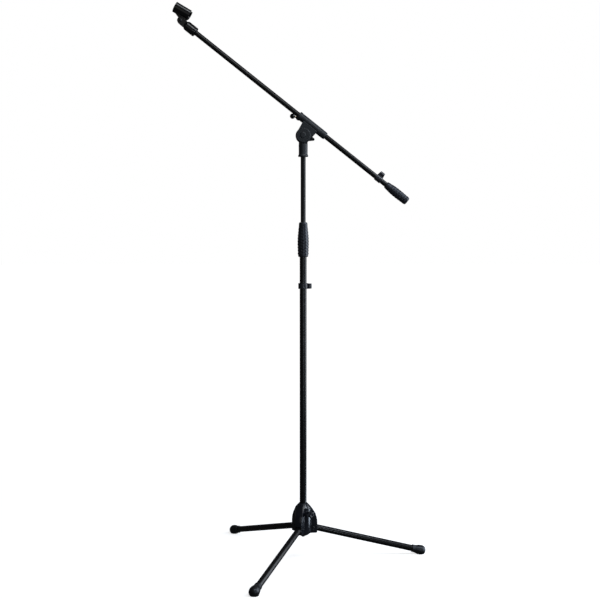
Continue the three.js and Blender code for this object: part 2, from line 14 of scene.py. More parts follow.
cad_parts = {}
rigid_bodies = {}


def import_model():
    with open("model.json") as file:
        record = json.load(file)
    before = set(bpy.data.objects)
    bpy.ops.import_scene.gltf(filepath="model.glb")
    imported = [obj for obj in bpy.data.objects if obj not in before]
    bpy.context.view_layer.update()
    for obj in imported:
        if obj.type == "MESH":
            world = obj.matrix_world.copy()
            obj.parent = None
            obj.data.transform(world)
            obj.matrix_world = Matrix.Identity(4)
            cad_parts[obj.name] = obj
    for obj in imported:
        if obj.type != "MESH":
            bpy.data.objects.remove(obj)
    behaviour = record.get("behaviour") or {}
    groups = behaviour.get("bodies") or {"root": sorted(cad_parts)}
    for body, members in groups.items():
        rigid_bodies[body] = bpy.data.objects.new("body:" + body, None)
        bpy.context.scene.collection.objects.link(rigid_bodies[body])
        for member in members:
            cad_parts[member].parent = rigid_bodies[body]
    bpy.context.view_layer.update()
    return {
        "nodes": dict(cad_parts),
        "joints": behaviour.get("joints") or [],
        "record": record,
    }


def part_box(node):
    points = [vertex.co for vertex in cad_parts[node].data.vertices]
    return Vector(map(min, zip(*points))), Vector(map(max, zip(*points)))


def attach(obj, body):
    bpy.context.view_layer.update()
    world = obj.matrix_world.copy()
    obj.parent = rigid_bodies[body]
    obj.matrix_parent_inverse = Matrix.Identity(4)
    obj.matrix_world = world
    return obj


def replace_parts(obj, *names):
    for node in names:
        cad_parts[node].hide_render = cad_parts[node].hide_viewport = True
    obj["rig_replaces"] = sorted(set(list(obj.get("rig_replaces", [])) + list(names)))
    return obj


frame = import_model()

MM = 0.001
DEG = math.pi / 180
UP = Vector((0, 0, 1))
ACROSS = Vector((0, 1, 0))       # along the tilt axis, away from the camera
JOINTS = {joint["name"]: joint for joint in frame["joints"]}

# ---- sizes, in millimetres, and angles, in degrees ----
GAP = 0.3                        # play between pieces that fit into each other
LOWER_R, LOWER_WALL = 11, 1.2
UPPER_R, UPPER_WALL = 8, 1
LEG_R, LEG_WALL, LEG_SLOPE = 10, 1.2, 14.4
FOOT_REACH = 387
SIDES = ("front", "right", "rear")

HUB_BOTTOM, HUB_SHOULDER, HUB_TOP = 85.5, 118, 182.5
HUB_R, HUB_TOP_R, CORE_R = 45.8, 12.7, 26
HOOD_HALF_WIDTH, SLOT_HALF_WIDTH = 12, 10.4
BUSH_R, BUSH_BOTTOM, BUSH_TOP = 13.5, 156, 179
FLANGE_R, FLANGE_TOP = 21, 96.2
PIN_R, KNOB_ROLL = 2.5, 5
KNOB_BOSS_R, KNOB_SEAT_R = 9.5, 5.3
RIVET_R, RIVET_CROWN_R, RIVET_RISE = 4.1, 2.2, 1.3

GRIP_BOTTOM, GRIP_TOP = 968, 1077.5
SOCKET_BOTTOM, SOCKET_R = 1283.5, 14
GRUB_HEIGHT = SOCKET_BOTTOM + 16
SHOULDER_DROP = 27               # tilt axis to the shoulder that the clamp's web swings over
DISC_R, SOCKET_DISC_R, DISC_DEPTH, WASHER_HALF = 22.5, 24, 13.5, 0.5

SLEEVE_TAIL, SLEEVE_NOSE = -57.5, 50.5
BOOM_TAIL, BOOM_NOSE = -378, 465
HANDLE_TAIL, HANDLE_NOSE = -386.5, -300.5
COLLAR_TAIL, COLLAR_NOSE = 463.5, 500
CUP_TILT, CUP_LIFT, CUP_R, CUP_WALL, CUP_MOUTH = 29.9, 29.9, 18.6, 2.8, 42
CUP_TAIL, CUP_NOSE = -17.8, 36
EAR_R, TONGUE_HALF = 10.3, 4
LEVER_DROOP = 17
LOCK_BAR_REACH, LOCK_BAR_DEPTH = 20.4, 22.5
LOCK_BAR_ALONG, LOCK_BAR_DROP = 18.8, 7.9      # its direction, along the boom and below it
LOCK_BAR_R, LOCK_BORE, LOCK_HEAD_R, BALL_R = 2.8, 3.3, 6.8, 8.3
BASE_SCREW_BORE, PIVOT_BORE, SWIVEL_BORE = 3.3, 4.3, 2.3
SWIVEL_HEAD_R, SWIVEL_SEAT = 4.6, 9.3
LINER_R = 9.5
MAST_CLIP_PLACE, BOOM_CLIP_PLACE = 867, -280.5
OVAL_PITCH, OVAL_COLUMNS = 9.6, 12             # the raised ovals on both grips

# Faces that meet at a larger angle than this, in degrees, are shaded with an edge between them.
EDGE, MOULDED_EDGE, GRIP_EDGE = 38, 60, 50


# ---- frames ----
def place_of(joint):
    return Vector(JOINTS[joint]["pos_m"])


def axis_of(joint):
    return Vector(JOINTS[joint]["axis"]).normalized()


def frame_at(origin, z_axis, x_axis):
    """The matrix from millimetres in a piece's own frame to metres in the row frame."""
    z = Vector(z_axis).normalized()
    y = z.cross(Vector(x_axis)).normalized()
    turn = Matrix((y.cross(z), y, z)).transposed().to_4x4()
    return Matrix.Translation(origin) @ turn @ Matrix.Scale(MM, 4)


def in_plane(angle):
    """The direction at an angle above +X, in the plane that the boom tilts in."""
    return Vector((math.cos(angle * DEG), 0, math.sin(angle * DEG)))


mast_place = place_of("mast_pan")
tilt_place = place_of("boom_tilt")
boom_axis = axis_of("boom_roll")
boom_side = ACROSS.cross(boom_axis)
knob_axis = axis_of("base_knob_turn")
knob_side = knob_axis.cross(UP)

MAST = frame_at((mast_place.x, mast_place.y, 0), UP, (1, 0, 0))
BOOM = frame_at(place_of("boom_roll"), boom_axis, boom_side)
BOOM_OFFSET = (place_of("boom_roll") - tilt_place).length / MM
SWIVEL_PLACE = (place_of("clip_tilt") - place_of("boom_roll")).length / MM
CLIP = frame_at(place_of("clip_tilt"), in_plane(180 - CUP_TILT), in_plane(90 - CUP_TILT))
TILT = frame_at(tilt_place, ACROSS, in_plane(0))
LEVER = frame_at(tilt_place, ACROSS, in_plane(-LEVER_DROOP))
LOCK_BAR_AXIS = boom_axis * LOCK_BAR_ALONG - boom_side * LOCK_BAR_DROP
LOCK = frame_at(place_of("boom_lock_turn"), ACROSS, LOCK_BAR_AXIS)
LOCK_IN_BOOM = Matrix.Translation(BOOM.inverted() @ place_of("boom_lock_turn"))
KNOB = frame_at(place_of("base_knob_turn"), knob_axis,
                knob_side * math.cos(KNOB_ROLL * DEG) - UP * math.sin(KNOB_ROLL * DEG))


def leg_frame(side):
    """Z runs down the leg from its pin, X points to its underside."""
    hinge = f"leg_{side}_fold"
    outward = axis_of(hinge).cross(UP)
    down, along = math.sin(LEG_SLOPE * DEG), math.cos(LEG_SLOPE * DEG)
    return frame_at(place_of(hinge), outward * along - UP * down, outward * -down - UP * along)


LEGS = {side: leg_frame(side) for side in SIDES}
PIN_HEIGHT = place_of("leg_front_fold").z / MM
PIN_REACH = (place_of("leg_front_fold") - mast_place).xy.length / MM
LEG_AZIMUTHS = {}
for side in SIDES:
    spoke = place_of(f"leg_{side}_fold") - mast_place
    LEG_AZIMUTHS[side] = math.atan2(spoke.y, spoke.x)


# ---- outlines ----
def rounded(corners, closed=False, step=11):
    """Points of an outline whose corners (x, y, radius) become arcs; (x, y) stays sharp."""
    points = []
    for i, corner in enumerate(corners):
        here = Vector(corner[:2])
        radius = corner[2] if len(corner) > 2 else 0
        if radius == 0 or (not closed and i in (0, len(corners) - 1)):
            points.append(tuple(here))
            continue
        before = Vector(corners[i - 1][:2]) - here
        after = Vector(corners[(i + 1) % len(corners)][:2]) - here
        half = before.angle(after) / 2
        reach = min(radius / math.tan(half), 0.49 * before.length, 0.49 * after.length)
        bisector = (before.normalized() + after.normalized()).normalized()
        centre = here + bisector * (reach / math.cos(half))
        start = here + before.normalized() * reach - centre
        finish = here + after.normalized() * reach - centre
        first = math.atan2(start.y, start.x)
        sweep = (math.atan2(finish.y, finish.x) - first + math.pi) % math.tau - math.pi
        steps = max(2, math.ceil(abs(sweep) / (step * DEG)))
        for k in range(steps + 1):
            angle = first + sweep * k / steps
            points.append((centre.x + start.length * math.cos(angle),
                           centre.y + start.length * math.sin(angle)))
    return points


def arc(centre, radius, first, last, step=6):
    """Points on a circle between two angles in degrees."""
    steps = max(2, math.ceil(abs(last - first) / step))
    angles = [(first + (last - first) * k / steps) * DEG for k in range(steps + 1)]
    return [(centre[0] + radius * math.cos(a), centre[1] + radius * math.sin(a)) for a in angles]


def tapered_bar(first_r, second_r, length, step=6):
    """The outline round two circles, the second one lying along +X."""
    tangent = math.acos((first_r - second_r) / length) / DEG
    return (arc((0, 0), first_r, tangent, 360 - tangent, step)
            + arc((length, 0), second_r, -tangent, tangent, step))


def resampled(points, step):
    """The same line with extra points, so that none are further apart than step."""
    line = [points[0]]
    for start, finish in zip(points, points[1:]):
        parts = max(1, math.ceil(math.dist(start, finish) / step))
        for k in range(1, parts + 1):
            line.append(tuple(a + (b - a) * k / parts for a, b in zip(start, finish)))
    return line


# ---- meshes, all in millimetres ----
def mesh_from(verts, faces):
    mesh = bpy.data.meshes.new("shape")
    mesh.from_pydata(verts, [], faces)
    body = bmesh.new()
    body.from_mesh(mesh)
    bmesh.ops.remove_doubles(body, verts=body.verts, dist=1e-5)
    bmesh.ops.recalc_face_normals(body, faces=body.faces)
    body.to_mesh(mesh)
    body.free()
    return mesh


def lathe(profile, segments=96, relief=None):
    """A body turned about Z from (radius, height) points that start and end on the axis or
    close on themselves. relief(angle, radius, height) adds to the radius."""
    angles = [math.tau * k / segments for k in range(segments)]
    verts, rings = [], []
    for radius, height in profile:
        if radius < 1e-6:
            rings.append([len(verts)] * segments)
            verts.append((0, 0, height))
            continue
        rings.append(list(range(len(verts), len(verts) + segments)))
        for angle in angles:
            r = radius + (relief(angle, radius, height) if relief else 0)
            verts.append((r * math.cos(angle), r * math.sin(angle), height))
    faces = []
    for low, high in zip(rings, rings[1:]):
        for k in range(segments):
            after = (k + 1) % segments
            corners = [low[k], low[after], high[after], high[k]]
            face = list(dict.fromkeys(corners))
            if len(face) > 2:
                faces.append(face)
    return mesh_from(verts, faces)


def turned(corners, segments=96, relief=None, step=None):
    profile = rounded(corners)
    if step:
        profile = resampled(profile, step)
    return lathe(profile, segments, relief)


def ring(corners, segments=96):
    """A body turned about Z whose outline closes on itself, away from the axis."""
    profile = rounded(corners, closed=True)
    return lathe(profile + profile[:1], segments)


def rod(radius, bottom, top, edge=0.0, segments=96):
    corners = [(0, bottom), (radius, bottom, edge), (radius, top, edge), (0, top)]
    return turned(corners, segments)


def pipe(outer, inner, bottom, top, edge=0.3, segments=96):
    corners = [(inner, bottom, edge), (outer, bottom, edge), (outer, top, edge), (inner, top, edge)]
    return ring(corners, segments)


def prism(points, low, high):
    """An outline in the XY plane, thickened along Z."""
    count = len(points)
    verts = [(x, y, low) for x, y in points] + [(x, y, high) for x, y in points]
    faces = [list(range(count)), list(range(count, 2 * count))]
    faces += [[k, (k + 1) % count, count + (k + 1) % count, count + k] for k in range(count)]
    return mesh_from(verts, faces)


def block(x0, x1, y0, y1, z0, z1):
    return prism([(x0, y0), (x1, y0), (x1, y1), (x0, y1)], z0, z1)


def moved(mesh, matrix):
    mesh.transform(matrix)
    return mesh


def shift(x=0.0, y=0.0, z=0.0):
    return Matrix.Translation((x, y, z))


def spin(angle, axis):
    return Matrix.Rotation(angle, 4, axis)


ALONG_Y = spin(-90 * DEG, "X")   # turns a body about Z so that its top points to +Y
ALONG_X = spin(90 * DEG, "Y")


def cross_rod(radius, low, high, x=0.0, z=0.0, edge=0.0):
    """A rod along +Y that passes through x and z."""
    return moved(rod(radius, low, high, edge), shift(x, 0, z) @ ALONG_Y)


def plate(points, low, high):
    """An outline in the XZ plane, thickened along Y."""
    return moved(prism(points, -high, -low), spin(90 * DEG, "X"))


def worked(mesh, add_modifiers):
    """The mesh as it is after the modifiers that add_modifiers puts on its object."""
    work = bpy.data.objects.new("work", mesh)
    bpy.context.scene.collection.objects.link(work)
    add_modifiers(work)
    graph = bpy.context.evaluated_depsgraph_get()
    made = bpy.data.meshes.new_from_object(work.evaluated_get(graph))
    bpy.data.objects.remove(work)
    return made


def combined(mesh, operation, others):
    tools = []
    for other in others:
        tool = bpy.data.objects.new("tool", other)
        bpy.context.scene.collection.objects.link(tool)
        tools.append(tool)

    def add_modifiers(work):
        for tool in tools:
            modifier = work.modifiers.new("boolean", "BOOLEAN")
            modifier.solver = "MANIFOLD"
            modifier.operation = operation
            modifier.object = tool

    made = worked(mesh, add_modifiers)
    for tool in tools:
        bpy.data.objects.remove(tool)
    return made


def joined(*meshes):
    return combined(meshes[0], "UNION", meshes[1:])


def cut(mesh, *tools):
    return combined(mesh, "DIFFERENCE", tools)


def common(mesh, other):
    return combined(mesh, "INTERSECT", [other])


def moulded(mesh, voxel, rounding=6, triangles=60000):
    """The same solid with its edges softened as a mould leaves them."""
    def remesh(work):
        grid = work.modifiers.new("grid", "REMESH")
        grid.mode = "VOXEL"
        grid.voxel_size = voxel
        soften = work.modifiers.new("soften", "SMOOTH")
        soften.factor = 0.5
        soften.iterations = rounding

    fine = worked(mesh, remesh)
    fine.calc_loop_triangles()
    share = triangles / len(fine.loop_triangles)
    if share >= 1:
        return fine

    def thin(work):
        work.modifiers.new("thin", "DECIMATE").ratio = share

    return worked(fine, thin)


# ---- looks ----
class Look:
    """A procedural material whose pattern lies in a piece's own frame, in millimetres."""

    def __init__(self, name, matrix, metallic=0.0):
        self.material = bpy.data.materials.new(name)
        self.material.use_nodes = True
        self.tree = self.material.node_tree
        self.shader = self.tree.nodes["Principled BSDF"]
        self.shader.inputs["Metallic"].default_value = metallic
        coordinates = self.tree.nodes.new("ShaderNodeTexCoord")
        own = self.tree.nodes.new("ShaderNodeMapping")
        own.vector_type = "TEXTURE"
        own.inputs["Location"].default_value = matrix.to_translation()
        own.inputs["Rotation"].default_value = matrix.to_3x3().normalized().to_euler()
        own.inputs["Scale"].default_value = (MM, MM, MM)
        self.link(coordinates.outputs["Object"], own.inputs["Vector"])
        self.place = own.outputs["Vector"]

    def link(self, output, socket):
        self.tree.links.new(output, socket)

    def noise(self, size, detail=3.0, stretch=1.0):
        """Cloudy values with patches of about size mm, drawn out along Z by stretch."""
        scaled = self.tree.nodes.new("ShaderNodeMapping")
        scaled.inputs["Scale"].default_value = (1 / size, 1 / size, 1 / (size * stretch))
        self.link(self.place, scaled.inputs["Vector"])
        texture = self.tree.nodes.new("ShaderNodeTexNoise")
        texture.inputs["Scale"].default_value = 1.0
        texture.inputs["Detail"].default_value = detail
        self.link(scaled.outputs["Vector"], texture.inputs["Vector"])
        return texture.outputs["Fac"]

    def cells(self, size):
        """Small round pits about size mm apart."""
        scaled = self.tree.nodes.new("ShaderNodeMapping")
        scaled.inputs["Scale"].default_value = (1 / size, 1 / size, 1 / size)
        self.link(self.place, scaled.inputs["Vector"])
        texture = self.tree.nodes.new("ShaderNodeTexVoronoi")
        texture.inputs["Scale"].default_value = 1.0
        self.link(scaled.outputs["Vector"], texture.inputs["Vector"])
        return texture.outputs["Distance"]

    def edges(self, low=0.52, high=0.62):
        """1 on outward edges and 0 on flat ground."""
        geometry = self.tree.nodes.new("ShaderNodeNewGeometry")
        return self.ranged(geometry.outputs["Pointiness"], 0, 1, low, high)

    def ranged(self, value, low, high, first=0.3, last=0.7):
        """The value mapped so that first becomes low and last becomes high."""
        node = self.tree.nodes.new("ShaderNodeMapRange")
        node.inputs["From Min"].default_value = first
        node.inputs["From Max"].default_value = last
        node.inputs["To Min"].default_value = low
        node.inputs["To Max"].default_value = high
        self.link(value, node.inputs["Value"])
        return node.outputs["Result"]

    def math(self, operation, first, second):
        """One operation on two values; either may be a socket."""
        node = self.tree.nodes.new("ShaderNodeMath")
        node.operation = operation
        for socket, value in zip(node.inputs, (first, second)):
            if isinstance(value, (int, float)):
                socket.default_value = value
            else:
                self.link(value, socket)
        return node.outputs["Value"]

    def mixed(self, factor, first, second):
        """A colour between two others; either may be a socket."""
        node = self.tree.nodes.new("ShaderNodeMix")
        node.data_type = "RGBA"
        self.link(factor, node.inputs["Factor"])
        for name, colour in (("A", first), ("B", second)):
            socket = next(s for s in node.inputs if s.name == name and s.type == "RGBA")
            if isinstance(colour, tuple):
                socket.default_value = (*colour, 1)
            else:
                self.link(colour, socket)
        return next(s for s in node.outputs if s.type == "RGBA")

    def colour(self, output):
        self.link(output, self.shader.inputs["Base Color"])

    def roughness(self, output):
        self.link(output, self.shader.inputs["Roughness"])

    def relief(self, *layers):
        """Bumps, each as (height output, depth in mm)."""
        normal = None
        for height, depth in layers:
            bump = self.tree.nodes.new("ShaderNodeBump")
            bump.inputs["Distance"].default_value = depth * MM
            bump.inputs["Strength"].default_value = 1.0
            self.link(height, bump.inputs["Height"])
            if normal:
                self.link(normal, bump.inputs["Normal"])
            normal = bump.outputs["Normal"]
        self.link(normal, self.shader.inputs["Normal"])


def tube_paint(name, matrix):
    """Satin black powder coat: orange peel, faint clouding and fine rub marks along the tube."""
    look = Look(name, matrix)
    rubs = look.ranged(look.noise(0.7, 2, 60), 0, 1, 0.62, 0.72)
    clouds = look.ranged(look.noise(22, 4), 0, 1)
    base = look.mixed(clouds, (0.0036, 0.0037, 0.0040), (0.0062, 0.0064, 0.0069))
    look.colour(look.mixed(look.math("MULTIPLY", rubs, 0.35), base, (0.024, 0.0245, 0.026)))
    satin = look.ranged(look.noise(6, 3), 0.25, 0.33)
    look.roughness(look.math("SUBTRACT", satin, look.math("MULTIPLY", rubs, 0.06)))
    look.relief((look.noise(1.6, 2), 0.008), (look.noise(0.45, 1), 0.003))
    look.shader.inputs["Specular IOR Level"].default_value = 0.33
    return look.material


def moulded_plastic(name, matrix, dark, pale, roughness, grain, depth):
    """Moulded plastic: spark-eroded grain, slow colour drift, and edges painted paler as rubbed
    wear and a painted sheen.
    """
    look = Look(name, matrix)
    drift = look.ranged(look.noise(14, 4), 0, 1)
    # Edges painted paler: partly rubbed wear, partly a painted sheen along the edges.
    edge_wear_and_sheen = look.math("MULTIPLY", look.edges(), look.ranged(look.noise(3, 3), 0.1, 0.6))
    rubbed_and_sheen_colour = tuple(min(1, 2.6 * value + 0.012) for value in pale)
    look.colour(look.mixed(edge_wear_and_sheen, look.mixed(drift, dark, pale), rubbed_and_sheen_colour))
    look.roughness(look.ranged(look.noise(5, 4), *roughness))
    look.relief((look.noise(grain, 3), depth), (look.noise(9, 2), 0.012))
    return look.material


def soft_rubber(name, matrix, dark, pale, roughness):
    """Rubber: fine pitted skin, dusty in patches, paler on its edges, and a little sheen."""
    look = Look(name, matrix)
    dust = look.ranged(look.noise(7, 5), 0, 1, 0.42, 0.78)
    skin = look.mixed(dust, dark, pale)
    # The outward edges are made paler.
    look.colour(look.mixed(look.math("MULTIPLY", look.edges(), 0.5), skin,
                           tuple(2.2 * value for value in pale)))
    look.roughness(look.ranged(look.noise(2.5, 3), *roughness))
    look.relief((look.cells(0.55), 0.02), (look.noise(0.8, 3), 0.012))
    look.shader.inputs["Specular Tint"].default_value = (0.84, 0.90, 1.0, 1)
    look.shader.inputs["Sheen Weight"].default_value = 0.08
    look.shader.inputs["Sheen Roughness"].default_value = 0.4
    return look.material


def plated_metal(name, matrix, clean, dull, roughness):
    """Turned and plated metal: fine turning lines and patches of tarnish."""
    look = Look(name, matrix, metallic=1.0)
    tarnish = look.ranged(look.noise(2.6, 5), 0, 1, 0.45, 0.8)
    look.colour(look.mixed(tarnish, clean, dull))
    look.roughness(look.math("ADD", look.ranged(look.noise(1.1, 4), *roughness),
                             look.math("MULTIPLY", tarnish, 0.12)))
    look.relief((look.noise(0.25, 2, 0.4), 0.01))
    return look.material


# Each finish with the function that makes it and what that function is given: colours as linear
# RGB, the lowest and highest roughness, and the grain's size and depth in millimetres.
FINISHES = {
    "tube_paint": (tube_paint, {}),
    "hub_plastic": (moulded_plastic, {
        "dark": (0.0058, 0.0072, 0.0108), "pale": (0.0098, 0.0118, 0.0168),
        "roughness": (0.15, 0.24), "grain": 0.9, "depth": 0.006}),
    "head_plastic": (moulded_plastic, {
        "dark": (0.0078, 0.0106, 0.0140), "pale": (0.0125, 0.0162, 0.0205),
        "roughness": (0.42, 0.54), "grain": 0.5, "depth": 0.014}),
    "clip_plastic": (moulded_plastic, {
        "dark": (0.0030, 0.0034, 0.0040), "pale": (0.0052, 0.0058, 0.0068),
        "roughness": (0.12, 0.20), "grain": 1.4, "depth": 0.004}),
    "cable_plastic": (moulded_plastic, {
        "dark": (0.0110, 0.0120, 0.0175), "pale": (0.0160, 0.0175, 0.0245),
        "roughness": (0.24, 0.34), "grain": 1.0, "depth": 0.006}),
    "nylon": (moulded_plastic, {
        "dark": (0.020, 0.020, 0.022), "pale": (0.028, 0.028, 0.030),
        "roughness": (0.40, 0.52), "grain": 0.7, "depth": 0.02}),
    "grip_rubber": (soft_rubber, {
        "dark": (0.0080, 0.0090, 0.0130), "pale": (0.0125, 0.0140, 0.0195),
        "roughness": (0.30, 0.42)}),
    "foot_rubber": (soft_rubber, {
        "dark": (0.0042, 0.0043, 0.0048), "pale": (0.0090, 0.0092, 0.0100),
        "roughness": (0.34, 0.48)}),
    "steel": (plated_metal, {
        "clean": (0.46, 0.47, 0.49), "dull": (0.24, 0.24, 0.25), "roughness": (0.24, 0.36)}),
    "black_steel": (plated_metal, {
        "clean": (0.055, 0.056, 0.06), "dull": (0.03, 0.03, 0.032), "roughness": (0.30, 0.42)}),
    "brass": (plated_metal, {
        "clean": (0.40, 0.29, 0.13), "dull": (0.16, 0.12, 0.06), "roughness": (0.30, 0.44)}),
}
looks = {}


def look_for(finish, place, matrix):
    """One material for each finish in each frame."""
    name = f"{finish}_{place}"
    if name not in looks:
        maker, values = FINISHES[finish]
        looks[name] = maker(name, matrix, **values)
    return looks[name]


# ---- putting a piece into the row frame ----
FRAMES = {"mast": MAST, "boom": BOOM, "clip": CLIP, "tilt": TILT, "lever": LEVER,
          "lock": LOCK, "knob": KNOB, **{f"leg_{side}": LEGS[side] for side in SIDES}}


def piece(name, mesh, place, body, node, slot, finish=None, sharp=EDGE):
    """Shows mesh, drawn in the named frame, instead of a CAD node, riding on its body."""
    mesh.transform(FRAMES[place])
    mesh.name = name
    for polygon in mesh.polygons:
        polygon.use_smooth = True
    mesh.set_sharp_from_angle(angle=sharp * DEG)
    mesh.materials.clear()
    mesh.materials.append(look_for(finish or slot, place, FRAMES[place]))
    made = bpy.data.objects.new(name, mesh)
    bpy.context.scene.collection.objects.link(made)
    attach(made, body)
    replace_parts(made, node)


# ---- tripod hub ----
def hub_shell():
    """The bell-shaped hub: a core round the mast with a hood over each leg."""
    bell = [(0, HUB_BOTTOM), (HUB_R - 1.2, HUB_BOTTOM, 1.2), (HUB_R, HUB_BOTTOM + 3)]
    steps = 24
    for i in range(steps + 1):
        rise = i / steps
        bell.append((HUB_TOP_R + (HUB_R - HUB_TOP_R) * (1 - rise * rise),
                     HUB_SHOULDER + (HUB_TOP - HUB_SHOULDER) * rise))
    bell.append((0, HUB_TOP))
    body = rod(CORE_R, HUB_BOTTOM, HUB_TOP, segments=144)
    below, above, far = HUB_BOTTOM - 1, HUB_TOP + 1, 60
    for azimuth in LEG_AZIMUTHS.values():
        hood = block(0, far, -HOOD_HALF_WIDTH, HOOD_HALF_WIDTH, below, above)
        body = joined(body, moved(hood, spin(azimuth, "Z")))
    body = common(body, turned(bell, 144))
    knob_turn = MAST.inverted() @ KNOB
    body = joined(body, moved(rod(KNOB_BOSS_R, 14, CORE_R + 0.6, 0.4), knob_turn))
    tools = [
        rod(LOWER_R + GAP, below, above, segments=128),
        rod(FLANGE_R + 1.3, below, FLANGE_TOP + 4, segments=128),
        rod(BUSH_R + GAP, BUSH_BOTTOM, BUSH_TOP),
        moved(rod(KNOB_SEAT_R, 12, 24.5), knob_turn),
        moved(rod(BASE_SCREW_BORE, 8, 40), knob_turn),
    ]
    # The room that a leg swings in, which is open at the bottom and on the outside.
    inner, outer, ceiling, open_end = 15, 42.2, PIN_HEIGHT + 15.5, HUB_BOTTOM - 5
    slot = rounded([(inner, open_end), (far, open_end), (far, PIN_HEIGHT + 4.9),
                    (outer, PIN_HEIGHT + 9.4, 1.5), (outer, ceiling - 4, 2), (38, ceiling, 3),
                    (26, ceiling, 5), (19, PIN_HEIGHT + 12, 5), (inner, PIN_HEIGHT + 5, 3)],
                   closed=True)
    for azimuth in LEG_AZIMUTHS.values():
        room = plate(slot, -SLOT_HALF_WIDTH, SLOT_HALF_WIDTH)
        hole = cross_rod(PIN_R + 0.4, -20, 20, PIN_REACH, PIN_HEIGHT)
        tools += [moved(room, spin(azimuth, "Z")), moved(hole, spin(azimuth, "Z"))]
    return moulded(cut(body, *tools), voxel=0.75, rounding=14, triangles=110000)


piece("hub_shell", hub_shell(), "mast", "base", "base_housing", "hub_plastic", sharp=MOULDED_EDGE)


def leg_rivet(azimuth):
    """A leg's hinge pin, with a low round head on either side of its hood."""
    seat, crown = HOOD_HALF_WIDTH + 0.1, HOOD_HALF_WIDTH + RIVET_RISE
    rivet = turned([(0, -crown), (RIVET_CROWN_R, -crown, 1.2), (RIVET_R, -seat, 0.3),
                    (PIN_R, -seat), (PIN_R, seat),
                    (RIVET_R, seat, 0.3), (RIVET_CROWN_R, crown, 1.2), (0, crown)], 64)
    return moved(rivet, spin(azimuth, "Z") @ shift(PIN_REACH, 0, PIN_HEIGHT) @ ALONG_Y)


for side in SIDES:
    piece(f"rivet_{side}", leg_rivet(LEG_AZIMUTHS[side]), "mast", "base", f"leg_pin_{side}",
          "steel", "black_steel")


def wing_knob():
    """The clamp knob; Z runs outwards along its screw and the wings lie along X."""
    body = turned([(0, 27), (6.2, 27, 0.4), (9, 32, 2), (9, 42.5, 1.5), (7.6, 45, 1.2),
                   (5.5, 45, 0.5), (4.6, 43.9, 0.5), (0, 43.9)], 96)
    for turn in (0, 180):
        wing = prism(tapered_bar(8, 5, 13.5), 34.2, 41.8)
        body = joined(body, moved(wing, spin(turn * DEG, "Z")))
    body = cut(body, rod(BASE_SCREW_BORE, 20, 40.3))
    return moulded(body, voxel=0.4, rounding=7, triangles=30000)


piece("wing_knob", wing_knob(), "knob", "base_knob", "base_lock_knob", "hub_plastic",
      sharp=MOULDED_EDGE)


# ---- legs ----
FOOT_PLACE = (FOOT_REACH - PIN_REACH) / math.cos(LEG_SLOPE * DEG)
BOOT_MOUTH = FOOT_PLACE - 30
BOOT_BOTTOM = FOOT_PLACE + 7


def leg_knuckle():
    """The inner end of a leg, which plugs into its tube and turns on its pin."""
    side_view = rounded([(-9, 9), (-9, -13.5, 3), (9, -13.5, 3), (9, 9)], closed=True)
    body = joined(plate(side_view, -9.8, 9.8), rod(LEG_R - LEG_WALL - GAP, 8, 40))
    body = cut(body, cross_rod(PIN_R + GAP, -12, 12))
    return moulded(body, voxel=0.5, rounding=4, triangles=16000)


def rubber_boot(matrix):
    """A boot on the end of the leg, cut flat where it stands on the floor."""
    neck, rib_pitch = 11.6, 2.6
    corners = [(0, BOOT_BOTTOM), (LEG_R + GAP, BOOT_BOTTOM), (LEG_R + GAP, BOOT_MOUTH),
               (neck + 0.6, BOOT_MOUTH, 0.9), (neck + 0.6, BOOT_MOUTH + 2.6, 0.9)]
    for rib in range(3):
        start = BOOT_MOUTH + 3.6 + rib_pitch * rib
        corners += [(neck - 0.3, start, 0.5), (neck + 0.5, start + 0.8, 0.4),
                    (neck + 0.5, start + 1.8, 0.4)]
    corners += [(12.8, BOOT_MOUTH + 13, 2), (15.3, BOOT_MOUTH + 22, 12), (16.2, FOOT_PLACE, 14),
                (15.6, FOOT_PLACE + 6, 10), (13, FOOT_PLACE + 11.5, 8),
                (8, FOOT_PLACE + 15, 8), (0, FOOT_PLACE + 16)]
    body = turned(corners, 96)
    outward = matrix.to_3x3().col[2].xy.to_3d().normalized()
    sole = matrix.translation.xy.to_3d() + outward * (FOOT_REACH - 1 - PIN_REACH) * MM
    to_leg = matrix.inverted() @ Matrix.Translation(sole) @ Matrix.Scale(MM, 4)
    pad = moved(turned([(0, 0), (12.4, 0, 1), (13.6, 2, 2), (14.5, 9), (0, 9)]), to_leg)
    under_floor = block(-80, 80, -80, 80, -40, 0)
    tools = [moved(under_floor, to_leg), rod(LEG_R + GAP, BOOT_MOUTH - 1, BOOT_BOTTOM)]
    for x in (-6, 0, 6):
        groove = block(x - 0.7, x + 0.7, -20, 20, -1, 0.9)
        tools.append(moved(groove, to_leg))
    return moulded(cut(joined(body, pad), *tools), voxel=0.45, rounding=3, triangles=40000)


for side in SIDES:
    place = f"leg_{side}"
    tube = pipe(LEG_R, LEG_R - LEG_WALL, 9.3, BOOT_BOTTOM - GAP, 0.4, 128)
    piece(f"leg_{side}_tube", tube, place, place, f"leg_tube_{side}", "tube_paint")
    piece(f"leg_{side}_knuckle", leg_knuckle(), place, place, f"leg_knuckle_{side}", "nylon",
          sharp=MOULDED_EDGE)
    piece(f"boot_{side}", rubber_boot(LEGS[side]), place, place, f"rubber_foot_{side}",
          "foot_rubber", sharp=MOULDED_EDGE)


# ---- lower mast ----
def cross_recess(size, top):
    """The tool that cuts a cross recess into a screw head whose top is at height top."""
    half = size * 0.28
    return joined(block(-size, size, -half, half, top - size, top + 1),
                  block(-half, half, -size, size, top - size, top + 1))


lower_low, lower_high = [corner.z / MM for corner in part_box("lower_tube")]
piece("mast_tube_lower", pipe(LOWER_R, LOWER_R - LOWER_WALL, lower_low, lower_high, 0.4, 128),
      "mast", "mast", "lower_tube", "tube_paint")

